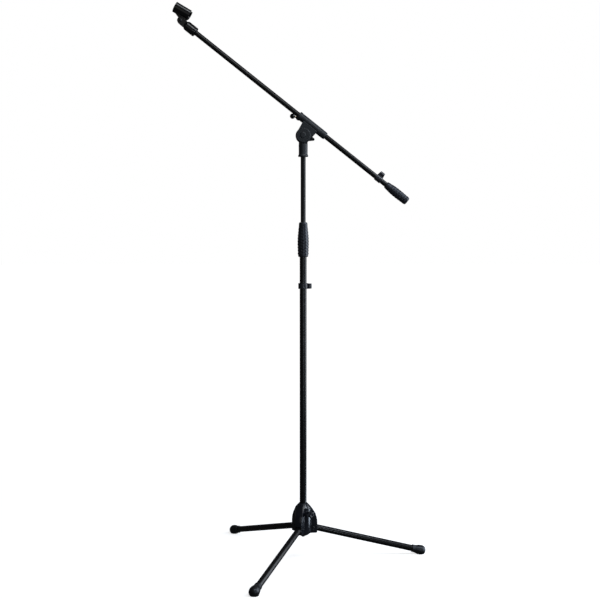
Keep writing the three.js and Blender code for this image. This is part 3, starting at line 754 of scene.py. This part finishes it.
spigot_r = LOWER_R - LOWER_WALL - GAP
leg_stop = ring([
    (3.3, 78, 0.5), (15, 78, 1.5), (20, 82, 2), (FLANGE_R, 85, 2), (FLANGE_R, FLANGE_TOP, 1.2),
    (15, FLANGE_TOP + 1.5, 3), (LOWER_R + GAP, FLANGE_TOP + 1.5, 0.4),
    (LOWER_R + GAP, lower_low - GAP), (spigot_r, lower_low - GAP), (spigot_r, 118, 1), (3.3, 118)])
piece("leg_stop", leg_stop, "mast", "mast", "leg_stop_plug", "nylon")

stop_screw = turned([(0, 72), (5, 72.4, 2), (6.5, 74.8, 1), (6.5, 77.7, 0.3), (3, 77.7),
                     (3, 113), (2, 114), (0, 114)], 72)
recess = moved(cross_recess(3, -72), spin(180 * DEG, "X"))
piece("stop_screw", cut(stop_screw, recess), "mast", "mast", "plug_screw", "steel")


# ---- grips ----
def oval_bumps(bottom, top, pitch, columns, height):
    """Raised ovals in columns round a grip, each column half a pitch from the next. height(z)
    is how far they stand out."""
    rows = (top - bottom) / pitch
    half_width, half_length = 0.43, 0.36     # of an oval, as shares of a column and of the pitch

    def relief(angle, radius, z):
        if not bottom < z < top:
            return 0.0
        column = angle / math.tau * columns
        nearest = round(column)
        stagger = 0.5 if nearest % 2 else 0.0
        row = (z - bottom) / pitch - stagger
        middle = round(row - 0.5) + 0.5
        if not 0 <= middle + stagger - 0.5 <= rows - 1:
            return 0.0
        across = (column - nearest) / half_width
        along = (row - middle) / half_length
        inside = 1 - across * across - along * along
        return height(z) * inside ** 0.75 if inside > 0 else 0.0

    return relief


def grip_relief(bottom, top, strong_end, weak_end, height):
    """Ovals on a grip's skin, which stand out by height at one end and fade to the other."""
    def share(z):
        fade = (z - weak_end) / (strong_end - weak_end)
        return height * (0.45 + 0.55 * max(0.0, min(1.0, fade)))

    ovals = oval_bumps(bottom, top, OVAL_PITCH, OVAL_COLUMNS, share)
    return lambda angle, radius, z: ovals(angle, radius, z) if radius > UPPER_R + 3 else 0.0


def mast_grip():
    bore, ceiling = 13.3, 1062
    corners = [(bore, GRIP_BOTTOM), (14.2, GRIP_BOTTOM, 0.6), (15.7, GRIP_BOTTOM + 2.5, 2),
               (16.2, GRIP_BOTTOM + 8, 6), (16.5, GRIP_BOTTOM + 22, 20),
               (17, GRIP_BOTTOM + 35, 30), (17.1, GRIP_BOTTOM + 50, 30),
               (16.8, GRIP_BOTTOM + 62, 30), (15.7, GRIP_BOTTOM + 75, 30),
               (14.5, GRIP_BOTTOM + 88, 30), (13.8, GRIP_BOTTOM + 98, 10),
               (13.5, GRIP_TOP - 4, 1), (12.2, GRIP_TOP - 0.6, 1), (10.6, GRIP_TOP, 0.6),
               (UPPER_R + GAP, GRIP_TOP), (UPPER_R + GAP, ceiling + 5), (11.2, ceiling),
               (bore - 1.6, ceiling - 6), (bore, ceiling - 12), (bore, GRIP_BOTTOM)]
    bumps = grip_relief(GRIP_BOTTOM + 6, GRIP_TOP - 9, GRIP_BOTTOM + 35, GRIP_TOP, 1.0)

    def outside(angle, radius, z):
        return bumps(angle, radius, z) if radius > bore + 0.2 else 0.0

    profile = resampled(rounded(corners[:-1]) + [corners[-1]], 0.9)
    return lathe(profile, 216, outside)


def boom_grip():
    corners = [(0, HANDLE_TAIL), (9.5, HANDLE_TAIL, 2), (12, HANDLE_TAIL + 1.6, 3),
               (13, HANDLE_TAIL + 5, 6), (13.4, HANDLE_TAIL + 18, 20),
               (14, HANDLE_TAIL + 34, 30), (14.1, HANDLE_TAIL + 48, 30),
               (13.6, HANDLE_TAIL + 60, 30), (12.5, HANDLE_TAIL + 70, 30),
               (11.4, HANDLE_NOSE - 5, 8), (10.8, HANDLE_NOSE - 1.6, 1),
               (9.6, HANDLE_NOSE, 0.6), (UPPER_R + GAP, HANDLE_NOSE),
               (UPPER_R + GAP, BOOM_TAIL - GAP), (0, BOOM_TAIL - GAP)]
    bumps = grip_relief(HANDLE_TAIL + 4, HANDLE_NOSE - 6, HANDLE_TAIL + 30, HANDLE_NOSE, 0.6)
    return turned(corners, 216, bumps, 0.9)


piece("mast_grip", mast_grip(), "mast", "clutch", "clutch_grip", "grip_rubber", sharp=GRIP_EDGE)
piece("boom_grip", boom_grip(), "boom", "boom", "boom_handle", "grip_rubber", sharp=GRIP_EDGE)


# ---- upper mast and the socket of the boom head ----
upper_low, upper_high = [corner.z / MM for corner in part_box("upper_tube")]
piece("mast_tube_upper", pipe(UPPER_R, UPPER_R - UPPER_WALL, upper_low, upper_high, 0.3, 128),
      "mast", "upper_mast", "upper_tube", "tube_paint")

PIVOT_HEIGHT = tilt_place.z / MM


def at_pivot(mesh):
    """A body about Z, laid along the tilt axis, in the mast frame."""
    return moved(mesh, shift(0, 0, PIVOT_HEIGHT) @ ALONG_Y)


def head_socket():
    shoulder = PIVOT_HEIGHT - SHOULDER_DROP
    barrel = turned([(0, SOCKET_BOTTOM), (15.2, SOCKET_BOTTOM, 0.5), (16, SOCKET_BOTTOM + 1, 0.6),
                     (15.8, SOCKET_BOTTOM + 4, 1), (SOCKET_R, SOCKET_BOTTOM + 7.5, 3),
                     (SOCKET_R + 0.3, shoulder, 0.6), (0, shoulder)], 128)
    neck = common(rod(SOCKET_R, shoulder - 5, PIVOT_HEIGHT, segments=128),
                  block(-20, 20, WASHER_HALF + GAP, 20, shoulder - 6, PIVOT_HEIGHT + 1))
    disc = at_pivot(turned([(0, WASHER_HALF + GAP), (SOCKET_DISC_R, WASHER_HALF + GAP, 0.5),
                            (SOCKET_DISC_R, DISC_DEPTH, 1.8), (0, DISC_DEPTH)], 128))
    body = joined(barrel, neck, disc)
    body = joined(body, cross_rod(5, 10, SOCKET_R + 0.5, z=GRUB_HEIGHT, edge=0.4))
    body = cut(body, rod(UPPER_R + GAP, SOCKET_BOTTOM - 1, SOCKET_BOTTOM + 34),
               at_pivot(rod(PIVOT_BORE, -20, 20)),
               at_pivot(pipe(19.5, 12.5, DISC_DEPTH - 1, DISC_DEPTH + 2, 0.1)),
               cross_rod(2.8, 5, 20, z=GRUB_HEIGHT))
    return moulded(body, voxel=0.45, rounding=5, triangles=90000)


piece("head_socket", head_socket(), "mast", "upper_mast", "boom_socket", "head_plastic",
      sharp=MOULDED_EDGE)

hexagon = arc((0, 0), 1.5, 0, 300, 60)
grub = cut(rod(2.5, UPPER_R + GAP, 13.4, 0.3, 48), prism(hexagon, 11, 14))
piece("socket_grub", moved(grub, shift(0, 0, GRUB_HEIGHT) @ ALONG_Y), "mast", "upper_mast",
      "socket_set_screw", "steel", "black_steel")
piece("tilt_washer", pipe(20, PIVOT_BORE, -WASHER_HALF, WASHER_HALF, 0.1), "tilt", "upper_mast",
      "friction_washer", "nylon")


def tilt_handle():
    """The lever of the tilt clamp, behind the head; X runs along its arm."""
    arm = prism(tapered_bar(16.5, 4.2, 33.5), 17, 25)
    hub = turned([(0, 14.2), (8, 14.2, 0.4), (9.5, 16, 1), (9.5, 27, 1.2), (7, 28.5, 1), (0, 28.5)])
    dish = moved(rod(11, -3, 3, 1.5), shift(23, 0, 27.4))
    body = cut(joined(arm, hub), rod(PIVOT_BORE, 10, 22.3), dish)
    return moulded(body, voxel=0.4, rounding=7, triangles=30000)


piece("tilt_handle", tilt_handle(), "lever", "tilt_clamp", "tilt_lever", "head_plastic",
      sharp=MOULDED_EDGE)


# ---- boom clamp, in the boom frame ----
def at_boom_pivot(mesh):
    return moved(mesh, shift(-BOOM_OFFSET) @ ALONG_Y)


def clamp_body():
    sleeve = turned([(0, SLEEVE_TAIL), (10.6, SLEEVE_TAIL, 0.5), (12, SLEEVE_TAIL + 5, 4),
                     (12.2, SLEEVE_TAIL + 20, 20),
                     (12.4, SLEEVE_NOSE - 8, 0.5), (12.9, SLEEVE_NOSE - 7, 0.5),
                     (12.9, SLEEVE_NOSE - 1, 0.8), (12, SLEEVE_NOSE, 0.5), (0, SLEEVE_NOSE)], 144)
    disc = at_boom_pivot(turned([(0, -DISC_DEPTH), (DISC_R, -DISC_DEPTH, 1.8),
                                 (DISC_R, -WASHER_HALF - GAP, 0.3), (0, -WASHER_HALF - GAP)], 144))
    front = rounded([(-BOOM_OFFSET, -DISC_R + 0.3), (-26.5, -26, 5), (-6, -27, 3), (-6, 28.5, 3),
                     (-14, 26.5, 9), (-BOOM_OFFSET, DISC_R - 0.3)], closed=True)
    back = rounded([(-17, -24, 3), (-6, -27), (-6, 24), (-17, 20, 3)], closed=True)
    boss = turned([(0, 0), (9.5, 0), (9.5, 14.5, 1), (8, 16.5, 1), (0, 16.5)])
    moved(boss, LOCK_IN_BOOM @ ALONG_Y)
    body = joined(sleeve, disc, plate(front, -11.5, -WASHER_HALF - GAP), plate(back, -2, 9.5), boss)
    tools = [
        rod(LINER_R + GAP, SLEEVE_TAIL - 1, SLEEVE_NOSE + 6, segments=128),
        at_boom_pivot(rod(SOCKET_DISC_R + 0.7, -WASHER_HALF, 25, segments=144)),
        at_boom_pivot(rod(PIVOT_BORE, -20, 5)),
        at_boom_pivot(rod(8, -20, -6, segments=6)),
        at_boom_pivot(rod(10.3, -20, -12.1)),
        at_boom_pivot(pipe(18.4, 17.4, -20, -DISC_DEPTH + 0.35, 0.1)),
        moved(rod(LOCK_BORE, 0, 20), LOCK_IN_BOOM @ ALONG_Y),
    ]
    return moulded(cut(body, *tools), voxel=0.45, rounding=5, triangles=110000)


piece("clamp_body", clamp_body(), "boom", "boom_head", "boom_clamp", "head_plastic",
      sharp=MOULDED_EDGE)
tilt_cap = turned([(0, -15.2), (7, -15, 3), (10, -13.8, 0.8), (10, -12.4, 0.2), (0, -12.4)], 96)
piece("tilt_cap", tilt_cap, "tilt", "boom_head", "pivot_cap", "head_plastic")
piece("sleeve_liner", pipe(LINER_R, UPPER_R + GAP, SLEEVE_TAIL + 1, SLEEVE_NOSE - 1, 0.3), "boom",
      "boom_sleeve", "boom_liner", "nylon")


# ---- boom lock screw, in the lock frame: Z runs to the back, X along the bar ----
def knurled(low, high, teeth, depth):
    """Grooves of some depth round a screw head, from low to high; its shank stays plain."""
    def relief(angle, radius, z):
        if not low < z < high or radius < LOCK_HEAD_R - 0.8:
            return 0.0
        return -depth * (0.5 + 0.5 * math.cos(angle * teeth)) ** 2

    return relief


lock_head = turned([(0, 9.9), (3, 9.9), (3, 16.9), (6.2, 16.9, 0.3), (LOCK_HEAD_R, 17.6, 0.3),
                    (LOCK_HEAD_R, 26.2, 0.4), (5.6, 27.4, 0.6), (0, 27.4)],
                   180, knurled(17.5, 26.3, teeth=36, depth=0.35), 0.6)
piece("lock_screw", lock_head, "lock", "boom_lock", "boom_lock_screw", "brass")
bar_end = LOCK_BAR_REACH - 3
lock_bar = turned([(0, 7.1), (LOCK_BAR_R, 7.1, 0.2), (LOCK_BAR_R, 12, 0.3), (2.3, 12.4, 0.2),
                   (2.3, 13.2, 0.2), (LOCK_BAR_R, 13.6, 0.2), (LOCK_BAR_R, bar_end, 0.3),
                   (0, bar_end)], 64)
piece("lock_bar", moved(lock_bar, shift(0, 0, LOCK_BAR_DEPTH) @ ALONG_X), "lock", "boom_lock",
      "boom_lock_bar", "brass")


def ball_knob():
    """The ball on the end of the bar, with a flat where the bar enters it."""
    bore, floor = LOCK_BAR_R + GAP, bar_end + GAP
    skin = arc((0, LOCK_BAR_REACH), BALL_R, -62, 90, 5)
    profile = [(0, floor), (bore, floor), (bore, skin[0][1])] + skin
    return lathe(profile[:-1] + [(0, LOCK_BAR_REACH + BALL_R)], 96)


piece("lock_ball", moved(ball_knob(), shift(0, 0, LOCK_BAR_DEPTH) @ ALONG_X), "lock", "boom_lock",
      "boom_lock_ball", "clip_plastic", sharp=MOULDED_EDGE)


# ---- boom ----
piece("boom_rod", pipe(UPPER_R, UPPER_R - UPPER_WALL, BOOM_TAIL, BOOM_NOSE, 0.3, 128), "boom",
      "boom", "boom_tube", "tube_paint")


# ---- microphone clip ----
def clip_socket():
    """The collar that screws on the boom's end, with two ears for the swivel."""
    collar = turned([(0, COLLAR_TAIL), (14.2, COLLAR_TAIL, 0.4), (15, COLLAR_TAIL + 1.4, 0.6),
                     (15, COLLAR_TAIL + 6, 0.5), (14.5, COLLAR_TAIL + 6.6, 0.4),
                     (14.5, COLLAR_TAIL + 7.6, 0.4), (15, COLLAR_TAIL + 8.2, 0.5),
                     (14.9, COLLAR_NOSE - 2, 1), (13.6, COLLAR_NOSE + 0.4, 2),
                     (9.6, COLLAR_NOSE + 5, 1), (0, COLLAR_NOSE + 5)], 128)
    ears = plate(tapered_bar(EAR_R, EAR_R + 0.4, 17), -9, 9)
    ears = moved(ears, shift(0, 0, SWIVEL_PLACE) @ spin(90 * DEG, "Y"))
    half = TONGUE_HALF + GAP
    tools = [
        block(-20, 20, -half, half, COLLAR_NOSE + 6, SWIVEL_PLACE + 20),
        cross_rod(EAR_R + 0.8, -half, half, z=SWIVEL_PLACE),
        cross_rod(SWIVEL_BORE, -20, 20, z=SWIVEL_PLACE),
        rod(11.3, COLLAR_TAIL - 1, COLLAR_TAIL + 26),
    ]
    return moulded(cut(joined(collar, ears), *tools), voxel=0.4, rounding=5, triangles=70000)


def cup_shell():
    """The C-shaped cup, narrower at its tail, with its tongue; X is the lift, Z the microphone."""
    length = CUP_NOSE - CUP_TAIL
    outer = arc((0, 0), CUP_R, CUP_MOUTH, 360 - CUP_MOUTH, 3)
    inner = arc((0, 0), CUP_R - CUP_WALL, 360 - CUP_MOUTH, CUP_MOUTH, 3)
    shell = prism(outer + inner, 0, length)
    for vertex in shell.vertices:
        taper = 0.95 + 0.05 * vertex.co.z / length
        vertex.co.x *= taper
        vertex.co.y *= taper
    moved(shell, shift(CUP_LIFT, 0, CUP_TAIL))
    roof = CUP_LIFT - CUP_R + 1.8
    side_view = rounded([(0, -EAR_R), (roof, CUP_TAIL + 0.2), (roof, CUP_NOSE - 7), (8.5, 19, 9),
                         (5, 11, 5), (0, EAR_R)], closed=True)
    tongue = plate(side_view, -TONGUE_HALF, TONGUE_HALF)
    knuckle = cross_rod(EAR_R, -TONGUE_HALF, TONGUE_HALF)
    flare = plate(rounded([(roof - 2.4, CUP_TAIL + 3, 3), (roof + 0.6, CUP_TAIL + 0.4),
                           (roof + 0.6, CUP_NOSE - 7), (roof - 2.4, CUP_NOSE - 13, 4)],
                          closed=True), -7, 7)
    body = cut(joined(shell, tongue, knuckle, flare), cross_rod(SWIVEL_BORE, -20, 20))
    return moulded(body, voxel=0.4, rounding=5, triangles=80000)


piece("clip_socket", clip_socket(), "boom", "boom", "clip_base", "clip_plastic",
      sharp=MOULDED_EDGE)
piece("cup_shell", cup_shell(), "clip", "mic_clip", "mic_cup", "clip_plastic", sharp=MOULDED_EDGE)

swivel_screw = turned([(0, -12.6), (2.2, -12.6, 1), (SWIVEL_HEAD_R, -11.4, 0.8),
                       (SWIVEL_HEAD_R, -SWIVEL_SEAT, 0.2), (2, -SWIVEL_SEAT),
                       (2, 12), (1.6, 12.4), (0, 12.4)], 72)
recess = moved(cross_recess(2, 12.6), spin(180 * DEG, "X"))
piece("swivel_screw", moved(cut(swivel_screw, recess), ALONG_Y), "clip", "clip_clamp",
      "clip_screw", "steel", "black_steel")
nut_top = SWIVEL_SEAT + 3
swivel_nut = common(cut(rod(SWIVEL_HEAD_R, SWIVEL_SEAT, nut_top, segments=6),
                        rod(SWIVEL_BORE, 8, 14, segments=48)),
                    turned([(0, SWIVEL_SEAT), (SWIVEL_HEAD_R, SWIVEL_SEAT, 0.5),
                            (SWIVEL_HEAD_R, nut_top, 0.8), (0, nut_top)], 72))
piece("swivel_nut", moved(swivel_nut, shift(0, 0, SWIVEL_PLACE) @ ALONG_Y), "boom", "boom",
      "clip_nut", "steel", "black_steel")


# ---- cable clips ----
def cable_clip(tube_r, wall, reach, bottom, base, tip):
    """A snap ring of some wall round the tube with an open cable channel beside it, both open to
    +Y. base and tip are its lengths along the tube, at the ring and at the channel's far side."""
    channel_r, channel_bore, mouth_half = 7.3, 4.4, 3.2
    middle = reach - channel_r
    top = bottom + base
    taper = (base - tip) / 2
    body = joined(rod(tube_r + wall, bottom, top, 0.8, 128),
                  block(tube_r - 2, middle, -5.5, 5.5, bottom, top),
                  moved(rod(channel_r, bottom, top, 0.8), shift(middle)))
    side_view = rounded([(-20, bottom), (tube_r + 1, bottom, 8), (reach, bottom + taper, 2),
                         (reach, top - taper, 2), (tube_r + 1, top, 8), (-20, top)], closed=True)
    body = common(body, plate(side_view, -20, 20))
    gate = tube_r * 0.55
    below, above = bottom - 1, top + 1
    body = cut(body, rod(tube_r + GAP, below, above, segments=128),
               moved(rod(channel_bore, below, above), shift(middle)),
               block(middle - mouth_half, middle + mouth_half, 0, 20, below, above),
               block(-gate, gate, 0, 20, below, above))
    return moulded(body, voxel=0.35, rounding=5, triangles=26000)


mast_hook = cable_clip(LOWER_R, wall=4.5, reach=27.3, bottom=MAST_CLIP_PLACE, base=18, tip=16)
piece("mast_cable_hook", mast_hook, "mast", "mast_cable_clip", "mast_cable_clip",
      "clip_plastic", "cable_plastic", sharp=MOULDED_EDGE)
boom_hook = cable_clip(UPPER_R, wall=2.3, reach=24.4, bottom=BOOM_CLIP_PLACE, base=21, tip=15)
piece("boom_cable_hook", boom_hook, "boom", "boom_cable_clip", "boom_cable_clip",
      "clip_plastic", "cable_plastic", sharp=MOULDED_EDGE)


# ---- CAD nodes that stay: inner pieces, in the finish of their own slot ----
replaced = {name for made in bpy.data.objects for name in made.get("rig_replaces", [])}
slots = {part["node"]: part["material_slot"] for part in frame["record"]["subparts"]}
for name, node in frame["nodes"].items():
    if name not in replaced:
        node.data.materials.clear()
        node.data.materials.append(look_for(slots[name], "mast", MAST))


# ---- camera, floor and light, in metres ----
CAMERA_FROM_MAST = Vector((-0.0100, -3.3120, 0.994))     # from the foot of the mast's axis
CAMERA_DOWN = 0.049                                      # radians below the horizontal
FOCAL_LENGTH, SENSOR_WIDTH = 62.7, 36                    # in millimetres
FLOOR_HALF = 60
FLOOR_GLOW, BACKDROP_GLOW = 0.74, 1.0
FADE_START, FADE_END = 900, 4500                         # on the floor, in millimetres
BOUNCE_AZIMUTH, BOUNCE_REACH, BOUNCE_HEIGHT = 98, 0.55, 0.01
WARM, COOL = (1.0, 0.98, 0.95), (0.92, 0.96, 1.0)
COOLER, BLUE = (0.84, 0.91, 1.0), (0.80, 0.89, 1.0)

scene = bpy.context.scene
camera = bpy.data.objects.new("camera", bpy.data.cameras.new("camera"))
scene.collection.objects.link(camera)
scene.camera = camera
camera.data.sensor_width = SENSOR_WIDTH
camera.data.lens = FOCAL_LENGTH
camera.location = mast_place.xy.to_3d() + CAMERA_FROM_MAST
camera.rotation_euler = (90 * DEG - CAMERA_DOWN, 0, 0)
camera.data.clip_end = 200

floor_mesh = bpy.data.meshes.new("floor")
floor_corners = [(-FLOOR_HALF, -FLOOR_HALF, 0), (FLOOR_HALF, -FLOOR_HALF, 0),
                 (FLOOR_HALF, FLOOR_HALF, 0), (-FLOOR_HALF, FLOOR_HALF, 0)]
floor_mesh.from_pydata(floor_corners, [], [(0, 1, 2, 3)])
floor = bpy.data.objects.new("floor", floor_mesh)
scene.collection.objects.link(floor)
floor.visible_glossy = False
floor.visible_diffuse = False
pale = Look("pale_floor", Matrix.Scale(MM, 4))
distance = pale.tree.nodes.new("ShaderNodeVectorMath")
distance.operation = "LENGTH"
pale.link(pale.place, distance.inputs[0])
pale.shader.inputs["Base Color"].default_value = (0.8, 0.8, 0.8, 1)
pale.shader.inputs["Roughness"].default_value = 0.9
pale.shader.inputs["Specular IOR Level"].default_value = 0.0
pale.shader.inputs["Emission Color"].default_value = (1, 1, 1, 1)
# The floor fades to the white of the backdrop, so that no horizon shows.
fade = pale.ranged(distance.outputs["Value"], FLOOR_GLOW, BACKDROP_GLOW, FADE_START, FADE_END)
pale.link(fade, pale.shader.inputs["Emission Strength"])
floor_mesh.materials.append(pale.material)


def softbox(name, place, target, size, power, colour):
    """A soft rectangular light that looks at its target; power is in watts."""
    light = bpy.data.lights.new(name, "AREA")
    light.shape = "RECTANGLE"
    light.size, light.size_y = size
    light.energy = power
    light.color = colour
    lamp = bpy.data.objects.new(name, light)
    scene.collection.objects.link(lamp)
    lamp.location = place
    lamp.rotation_euler = (Vector(target) - Vector(place)).to_track_quat("-Z", "Y").to_euler()
    lamp.visible_camera = False


softbox("side_softbox", (3.1, 0.25, 1.4), (0, 0, 1.0), size=(3.0, 2.8), power=100, colour=COOLER)
softbox("top_softbox", (0.9, -2.0, 3.8), (0, 0, 0.8), size=(1.6, 1.6), power=34, colour=COOL)
softbox("front_fill", (-1.2, -4.5, 1.8), (0, 0, 1.0), size=(2.4, 2.4), power=5, colour=WARM)
softbox("strip", (1.15, -3.2, 0.7), (0, 0, 0.4), size=(0.14, 1.4), power=11, colour=BLUE)
softbox("high_side", (1.3, -0.5, 2.2), (0, 0, 0.15), size=(0.5, 0.5), power=10, colour=BLUE)

# Light thrown back by the bright floor beside the hub.
azimuth = BOUNCE_AZIMUTH * DEG
bounce = mast_place.xy.to_3d() + Vector((math.sin(azimuth), -math.cos(azimuth), 0)) * BOUNCE_REACH
softbox("bounce", bounce + UP * BOUNCE_HEIGHT, bounce + UP, size=(0.2, 0.2), power=1.6,
        colour=(0.72, 0.84, 1.0))

world = bpy.data.worlds.new("studio")
scene.world = world
world.use_nodes = True
tree = world.node_tree
tree.nodes.clear()
room = tree.nodes.new("ShaderNodeBackground")
room.inputs["Color"].default_value = (0.050, 0.051, 0.053, 1)
backdrop = tree.nodes.new("ShaderNodeBackground")
backdrop.inputs["Color"].default_value = (1, 1, 1, 1)
seen = tree.nodes.new("ShaderNodeLightPath")
either = tree.nodes.new("ShaderNodeMixShader")
output = tree.nodes.new("ShaderNodeOutputWorld")
tree.links.new(seen.outputs["Is Camera Ray"], either.inputs[0])
tree.links.new(room.outputs[0], either.inputs[1])
tree.links.new(backdrop.outputs[0], either.inputs[2])
tree.links.new(either.outputs[0], output.inputs["Surface"])
scene.view_settings.view_transform = "Standard"
